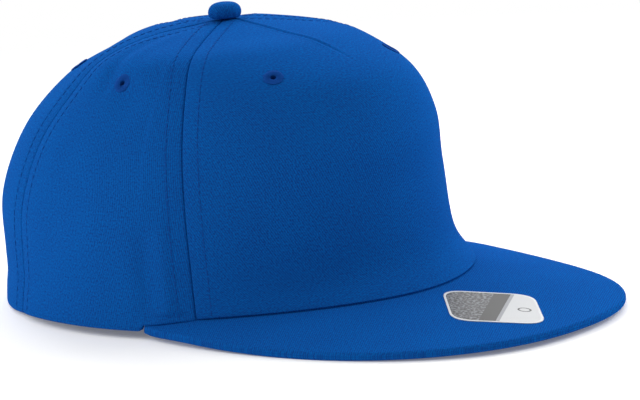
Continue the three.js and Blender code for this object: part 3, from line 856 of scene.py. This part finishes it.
choose()
bpy.ops.mesh.primitive_torus_add(major_segments=6 * ring_threads, minor_segments=12,
                                 major_radius=ring_middle, minor_radius=ring_breadth)
ring = bpy.context.object
bpy.ops.object.shade_smooth()
hoop = places_of(ring)
around = np.arctan2(hoop[:, 1], hoop[:, 0])
laid = np.cos(ring_threads * around)
ragged = 1 + 0.05 * np.sin(7 * around + 1) + 0.04 * np.sin(17 * around) + 0.03 * laid
out = ring_middle + (np.hypot(hoop[:, 0], hoop[:, 1]) - ring_middle) * ragged
hoop[:, 2] *= ring_height / ring_breadth * (1 + 0.2 * laid)
hoop[:, 0], hoop[:, 1] = out * np.cos(around), out * np.sin(around)
move_to(ring, hoop)
ring.data.materials.append(thread)
shared_ring = ring.data.copy()
for number, which in enumerate(eyelet_angles):
    eyelet = ring
    if number:
        choose(ring)
        bpy.ops.object.duplicate()
        eyelet = bpy.context.object
    eyelet.name = f"eyelet_{which}_thread"
    eyelet.data = shared_ring.copy()
    eyelet.data.transform(eyelet_stand(which) @ Matrix.Translation((0, 0, ring_lift)))
    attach(eyelet, "root")
    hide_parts(f"eyelet_{which}")


# Stitching
# Rows of topstitching beside the seams, beside the dart and round the arch, one stitch after another.
stitch_length = 2.3
stitch_pitch = 3
stitch_breadth = 0.46
stitch_rise = 0.2
stitch_sunk = 0.1
button_edge = 8
dart_foot = 0.63
centre_foot = 0.53
stitch_foot = 0.012
hem_inset = 5.5
hem_raised = 0.06
hem_turn = 0.5
chance = np.random.default_rng(5)

choose()
bpy.ops.mesh.primitive_uv_sphere_add(segments=6, ring_count=6, radius=0.5)
one_stitch = bpy.context.object
stitch_shape = np.array([(v.co.z, v.co.x, v.co.y) for v in one_stitch.data.vertices])
stitch_shape[:, 1:] *= (1 + 0.25 * np.sin(np.pi * 2 * stitch_shape[:, :1]) ** 2)
stitch_faces = [list(face.vertices) for face in one_stitch.data.polygons]
bpy.data.objects.remove(one_stitch)


def lay_stitches(name, rows):
    """One piece of stitches along rows, each of places and normals close together in metres."""
    places, faces = [], []
    for along, normal in rows:
        steps = np.linalg.norm(np.diff(along, axis=0), axis=-1)
        length = np.concatenate([[0], np.cumsum(steps)]) * 1000
        centres = np.arange(stitch_pitch / 2, length[-1], stitch_pitch)
        heading = np.gradient(along, axis=0)
        centre, face, ahead = (np.stack([np.interp(centres, length, grid[:, k]) for k in range(3)], -1)
                               for grid in (along, normal, heading))
        ahead /= np.linalg.norm(ahead, axis=-1, keepdims=True)
        beside = np.cross(face, ahead)
        beside /= np.linalg.norm(beside, axis=-1, keepdims=True)
        ahead = ahead + beside * chance.normal(0, 0.025, (len(centres), 1))
        long = stitch_length * chance.uniform(0.93, 1.05, (len(centres), 1, 1)) / 1000
        shape = stitch_shape[None]
        stitches = (centre[:, None] + ahead[:, None] * shape[..., :1] * long
                    + beside[:, None] * shape[..., 1:2] * stitch_breadth / 1000
                    + face[:, None] * shape[..., 2:] * stitch_rise / 1000)
        for stitch in stitches:
            first = len(places) * len(stitch_shape)
            places.append(stitch)
            faces += [[first + corner for corner in face_corners] for face_corners in stitch_faces]
    mesh = bpy.data.meshes.new(name)
    mesh.from_pydata(np.concatenate(places).tolist(), [], faces)
    piece = bpy.data.objects.new(name, mesh)
    bpy.context.collection.objects.link(piece)
    choose(piece)
    bpy.ops.object.mode_set(mode="EDIT")
    bpy.ops.mesh.select_all(action="SELECT")
    bpy.ops.mesh.normals_make_consistent(inside=False)
    bpy.ops.object.mode_set(mode="OBJECT")
    bpy.ops.object.shade_smooth()
    piece.data.materials.append(thread)
    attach(piece, "root")


def seam_row(seam, inset, low=stitch_foot):
    """Places along a seam, so many millimetres beside it, and the cloth's normals there."""
    top = float(share_at_reach(np.array([float(seam(np.array(0.9)))]), button_edge)[0])
    share = np.linspace(low, top, 500)
    point = smooth_crown(seam(share), share)
    angle = seam(share) + inset / np.hypot(point[:, 0], point[:, 1])
    return crown_point(angle, share, -stitch_sunk), crown_normal(angle, share)


lay_stitches("stitches_front_panel", [
    seam_row(right_side_seam, -stitch_inset),
    seam_row(left_side_seam, stitch_inset),
    seam_row(np.zeros_like, dart_stitch, dart_foot),
    seam_row(np.zeros_like, -dart_stitch, dart_foot),
])
for side, sign in (("right", 1), ("left", -1)):
    side_seam, back_seam = side_seams[side]
    centre_back = back_seams[side][1]
    lay_stitches(f"stitches_side_panel_{side}", [
        seam_row(side_seam, sign * stitch_inset),
        seam_row(back_seam, -sign * stitch_inset),
    ])

    hem_turns = sign * (np.pi - hem_turn * np.linspace(0, 1, 900) ** 0.6)
    hem_share = share_where(hem_turns, 0, 0.75, lambda at: in_arch(at, hem_inset))
    above_rim = hem_share > 0.02
    hem_turns, hem_share = hem_turns[above_rim], hem_share[above_rim]
    lay_stitches(f"stitches_back_panel_{side}", [
        seam_row(back_seam, sign * stitch_inset),
        seam_row(centre_back, -sign * stitch_inset, centre_foot),
        (crown_point(hem_turns, hem_share, hem_raised), crown_normal(hem_turns, hem_share)),
    ])


# Sweatband
# A woven band against the wearer's head, sewn in behind the rim and open along the arch.
arch_root = back_reach * math.asin(arch_half_width / back_reach)
strap_tuck = 14
strap_root = arch_root + strap_tuck
band_lift = 1.5
band_height = 32
band_thickness = 1.2
band_slack = 1.5
band_slack_rise = 7


def share_at_rise(angle, rise):
    rim = rim_height(angle, *plan_point(angle, np.zeros_like(angle)))
    return share_where(angle, 0, 1, lambda at: at[..., 2] - rim < rise)


def inner_band(name, angle, rise, depth, thickness, trim):
    """A band inside the crown from grids of angles, rises above the rim and depths behind the cloth."""
    share = share_at_rise(angle, rise)
    face = crown_point(angle, share, -(depth + trim), folded=False)
    back = crown_point(angle, share, -(depth + thickness - trim), folded=False)
    return sheet_of(name, face, back)


band_end = math.pi - (strap_root + gap) / back_reach
band_rises = band_height * spaced(band_height, 0.3, 1.6)
band_angles = np.linspace(-band_end, band_end, 300)
angle, rise = np.meshgrid(band_angles, band_rises, indexing="ij")
depth = panel_wall + gap + band_slack * ease(rise / band_slack_rise)
trim = roll(np.minimum(rise, band_height - rise), 0.5) * 0.9
sweatband = inner_band("sweatband_cloth", angle, rise + band_lift, depth, band_thickness, trim)
band_cloth = woven_material("royal_blue_band_cloth", (0.004, 0.07, 0.29, 1), (0.007, 0.12, 0.44, 1),
                            300, 1500, 0, 0.0002)
sweatband.data.materials.append(band_cloth)
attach(sweatband, "root")
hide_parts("sweatband")

band_turn = np.linspace(-band_end, band_end, 2500) * 0.998
rows = []
for up in (2.5, band_height - 2.2):
    share = share_at_rise(band_turn, band_lift + up)
    behind = panel_wall + gap + band_slack * ease(up / band_slack_rise) + band_thickness + 0.02
    rows.append((crown_point(band_turn, share, -behind, folded=False), -crown_normal(band_turn, share)))
lay_stitches("stitches_sweatband", rows)


# Strap
# Two moulded halves across the arch, one with seven holes, the other with seven domed studs behind it.
strap_lift = 3
strap_height = 18
strap_thickness = 1.3
strap_edge = 0.45
stud_pitch = 8
stud_radius = 1.8
stud_rise = 0.8
stud_edge = 0.0006
stud_count = 7
studs_engaged = 4
hole_radius = 2.2
strap_overlap = (studs_engaged - 1) * stud_pitch + 12
strap_depth = panel_wall + hem_depth + gap
strap_inward = strap_thickness + gap

moulded = mottled_material("royal_blue_moulded_plastic", (0.006, 0.1, 0.38, 1), (0.008, 0.12, 0.43, 1),
                           1400, 0.42, ("Specular IOR Level", 0.45), 0.25, 0.00005)


def strap_half(name, side, inward):
    """One half of the strap, with a round tip. Side is 1 for the half on the wearer's right."""
    tip = -strap_overlap / 2
    round_end = strap_height / 2
    tip_places = tip + round_end * (1 - np.cos(np.linspace(0.12, np.pi / 2, 14)))
    places = np.concatenate([tip_places, np.linspace(tip + round_end, strap_root, 70)[1:]])
    across = spaced(strap_height, 0.3, 1.3)
    place, up = np.meshgrid(places, across, indexing="ij")
    from_round = np.clip((tip + round_end - place) / round_end, 0, 1)
    half = round_end * np.sqrt(1 - from_round**2)
    rise = strap_lift + round_end + half * (2 * up - 1)
    clear = strap_overlap / 2 + stud_radius
    depth = strap_depth + inward * (1 - ease((place - clear) / (arch_root - clear)))
    to_edge = np.minimum(half * 2 * np.minimum(up, 1 - up), place - places[0])
    trim = roll(to_edge, strap_edge)
    if side < 0:
        place, rise, depth, trim = place[::-1], rise[::-1], depth[::-1], trim[::-1]
    return inner_band(name, np.pi - side * place / back_reach, rise, depth, strap_thickness, trim)


def pin_stand(side, number, depth):
    """Place and turn of a stud or a hole, counted from the tip of its half."""
    along = ((studs_engaged - 1) / 2 - number) * stud_pitch
    angle = np.array([np.pi + side * along / back_reach])
    share = share_at_rise(angle, strap_lift + strap_height / 2)
    turn = Vector(crown_normal(angle, share)[0]).to_track_quat("Z", "Y").to_matrix().to_4x4()
    return Matrix.Translation(Vector(crown_point(angle, share, -depth, folded=False)[0])) @ turn


with_holes = strap_half("strap_with_holes_plastic", 1, 0)
for number in range(stud_count):
    cut_round(with_holes, pin_stand(1, number, strap_depth + strap_thickness / 2), hole_radius / 1000, 0.005)
with_studs = strap_half("strap_with_studs_plastic", -1, strap_inward)
stud_bottom = strap_depth + strap_inward + strap_thickness / 2
stud_length = stud_bottom - strap_depth + stud_rise
studs = []
for number in range(stud_count):
    choose()
    bpy.ops.mesh.primitive_cylinder_add(vertices=32, radius=stud_radius / 1000, depth=stud_length / 1000)
    stud = bpy.context.object
    stud.data.uv_layers.active.name = "cloth_map"
    rounding = stud.modifiers.new("rounding", "BEVEL")
    rounding.width = stud_edge
    rounding.segments = 4
    bpy.ops.object.modifier_apply(modifier="rounding")
    bpy.ops.object.shade_smooth_by_angle(angle=math.radians(50))
    stud.data.transform(pin_stand(-1, number, stud_bottom - stud_length / 2))
    studs.append(stud)
choose(*studs, with_studs)
bpy.ops.object.join()
for half, node in ((with_holes, "strap_with_holes"), (with_studs, "strap_with_studs")):
    half.data.materials.append(moulded)
    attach(half, "root")
    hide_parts(node)


# Sticker
# A printed film with rounded corners on top of the peak, in a plain pattern without any text.
sticker_length = 38.6
sticker_width = 34.9
sticker_corner = 9
sticker_turn = math.radians(46)
sticker_slant = math.radians(17.5)
sticker_thickness = 0.22
sticker_offset = 6
sticker_up = 0.532
sticker_lift = 0.02

along = sticker_length / 2 * np.array([math.cos(sticker_turn), math.sin(sticker_turn)])
beside = sticker_width / 2 * np.array([-math.sin(sticker_turn - sticker_slant),
                                       math.cos(sticker_turn - sticker_slant)])
stops = [along + beside, beside - along, -along - beside, along - beside]
curves = []
for number, stop in enumerate(stops):
    before, after = (stops[(number + step) % 4] - stop for step in (3, 1))
    before = stop + sticker_corner * before / np.linalg.norm(before)
    after = stop + sticker_corner * after / np.linalg.norm(after)
    bend = np.linspace(0, 1, 21)[:, None]
    curves.append((1 - bend) ** 2 * before + 2 * bend * (1 - bend) * stop + bend**2 * after)
sides = [np.concatenate([curves[k][10:], curves[(k + 1) % 4][:11]]) for k in range(4)]


def side_place(number, share):
    """Place at a share of the way along one side, from the middle of one corner to the next."""
    line = sides[number]
    run = np.concatenate([[0], np.cumsum(np.linalg.norm(np.diff(line, axis=0), axis=-1))])
    return np.stack([np.interp(share * run[-1], run, line[:, k]) for k in range(2)], -1)


across, up = np.meshgrid(*[np.linspace(-1, 1, 49)] * 2, indexing="ij")
outness = np.maximum(np.abs(across), np.abs(up))
a, b = across / np.maximum(outness, 1e-9), up / np.maximum(outness, 1e-9)
rim = np.where((b >= np.abs(a))[..., None], side_place(0, (1 - a) / 2),
               np.where((-a >= np.abs(b))[..., None], side_place(1, (1 - b) / 2),
                        np.where((-b >= np.abs(a))[..., None], side_place(2, (1 + a) / 2),
                                 side_place(3, (1 + b) / 2))))
flat = rim * outness[..., None]
x = flat[..., 0] - sticker_offset
y = flat[..., 1] - mix(peak_reach, front_reach, sticker_up)
layers = [np.stack([x, y + crown_middle_y, peak_top(x, y) + lift], -1) / 1000
          for lift in (sticker_lift + sticker_thickness, sticker_lift)]
shares = flat @ np.linalg.inv(np.stack([along, beside]))
sticker = sheet_of("peak_sticker_film", *layers, [shares, shares], "sticker_map")
edge_map = sticker.data.uv_layers.new(name="sticker_edge")
reach_out = np.concatenate([outness.T.ravel()] * 2)
write_map(sticker, edge_map, np.stack([reach_out, 0 * reach_out], -1))

film = bpy.data.materials.new("printed_film")
film.use_nodes = True
nodes = film.node_tree.nodes
links = film.node_tree.links
surface = nodes["Principled BSDF"]
surface.inputs["Roughness"].default_value = 0.45
surface.inputs["Specular IOR Level"].default_value = 0.1
chart = nodes.new("ShaderNodeUVMap")
chart.uv_map = "sticker_map"
rim_chart = nodes.new("ShaderNodeUVMap")
rim_chart.uv_map = "sticker_edge"
parts = nodes.new("ShaderNodeSeparateXYZ")
links.new(chart.outputs["UV"], parts.inputs["Vector"])
rim_part = nodes.new("ShaderNodeSeparateXYZ")
links.new(rim_chart.outputs["UV"], rim_part.inputs["Vector"])


def film_math(operation, first, second):
    """A number worked out from two sockets or values."""
    node = nodes.new("ShaderNodeMath")
    node.operation = operation
    for socket, value in zip(node.inputs, (first, second)):
        if isinstance(value, (int, float)):
            socket.default_value = value
        else:
            links.new(value, socket)
    return node.outputs["Value"]


def film_layer(below, colour, mask):
    """A colour printed over the layers below it where the mask is 1."""
    node = nodes.new("ShaderNodeMix")
    node.data_type = "RGBA"
    links.new(mask, node.inputs["Factor"])
    for name, value in (("A", below), ("B", colour)):
        if isinstance(value, tuple):
            node.inputs[name].default_value = value
        else:
            links.new(value, node.inputs[name])
    return node.outputs["Result"]


slope = film_math("ADD", parts.outputs["Y"], film_math("MULTIPLY", parts.outputs["X"], 0.3))
speckle = nodes.new("ShaderNodeTexNoise")
speckle.inputs["Scale"].default_value = 15
speckle.inputs["Detail"].default_value = 4
links.new(chart.outputs["UV"], speckle.inputs["Vector"])
specks = nodes.new("ShaderNodeMapRange")
specks.inputs["From Min"].default_value = 0.46
specks.inputs["From Max"].default_value = 0.6
links.new(speckle.outputs["Fac"], specks.inputs["Value"])
print_colour = film_layer((0.5, 0.51, 0.52, 1), (0.24, 0.25, 0.27, 1), film_math("GREATER_THAN", slope, -0.3))
print_colour = film_layer(print_colour, (0.006, 0.006, 0.007, 1), film_math("GREATER_THAN", slope, -0.22))
printed = film_layer((0.008, 0.008, 0.01, 1), (0.16, 0.17, 0.19, 1), specks.outputs["Result"])
print_colour = film_layer(print_colour, printed, film_math("GREATER_THAN", slope, 0.14))
off_x = film_math("MULTIPLY", film_math("ADD", parts.outputs["X"], 0.1), 1.1)
off_y = film_math("ADD", parts.outputs["Y"], 0.66)
spot = film_math("SQRT", film_math("ADD", film_math("MULTIPLY", off_x, off_x),
                                   film_math("MULTIPLY", off_y, off_y)), 0)
hoops = film_math("LESS_THAN", film_math("ABSOLUTE", film_math("SUBTRACT", spot, 0.13), 0), 0.022)
print_colour = film_layer(print_colour, (0.05, 0.05, 0.055, 1), hoops)
edging = film_math("GREATER_THAN", rim_part.outputs["X"], 0.952)
print_colour = film_layer(print_colour, (0.58, 0.6, 0.61, 1), edging)
links.new(print_colour, surface.inputs["Base Color"])
sticker.data.materials.append(film)
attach(sticker, "root")
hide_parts("peak_sticker")
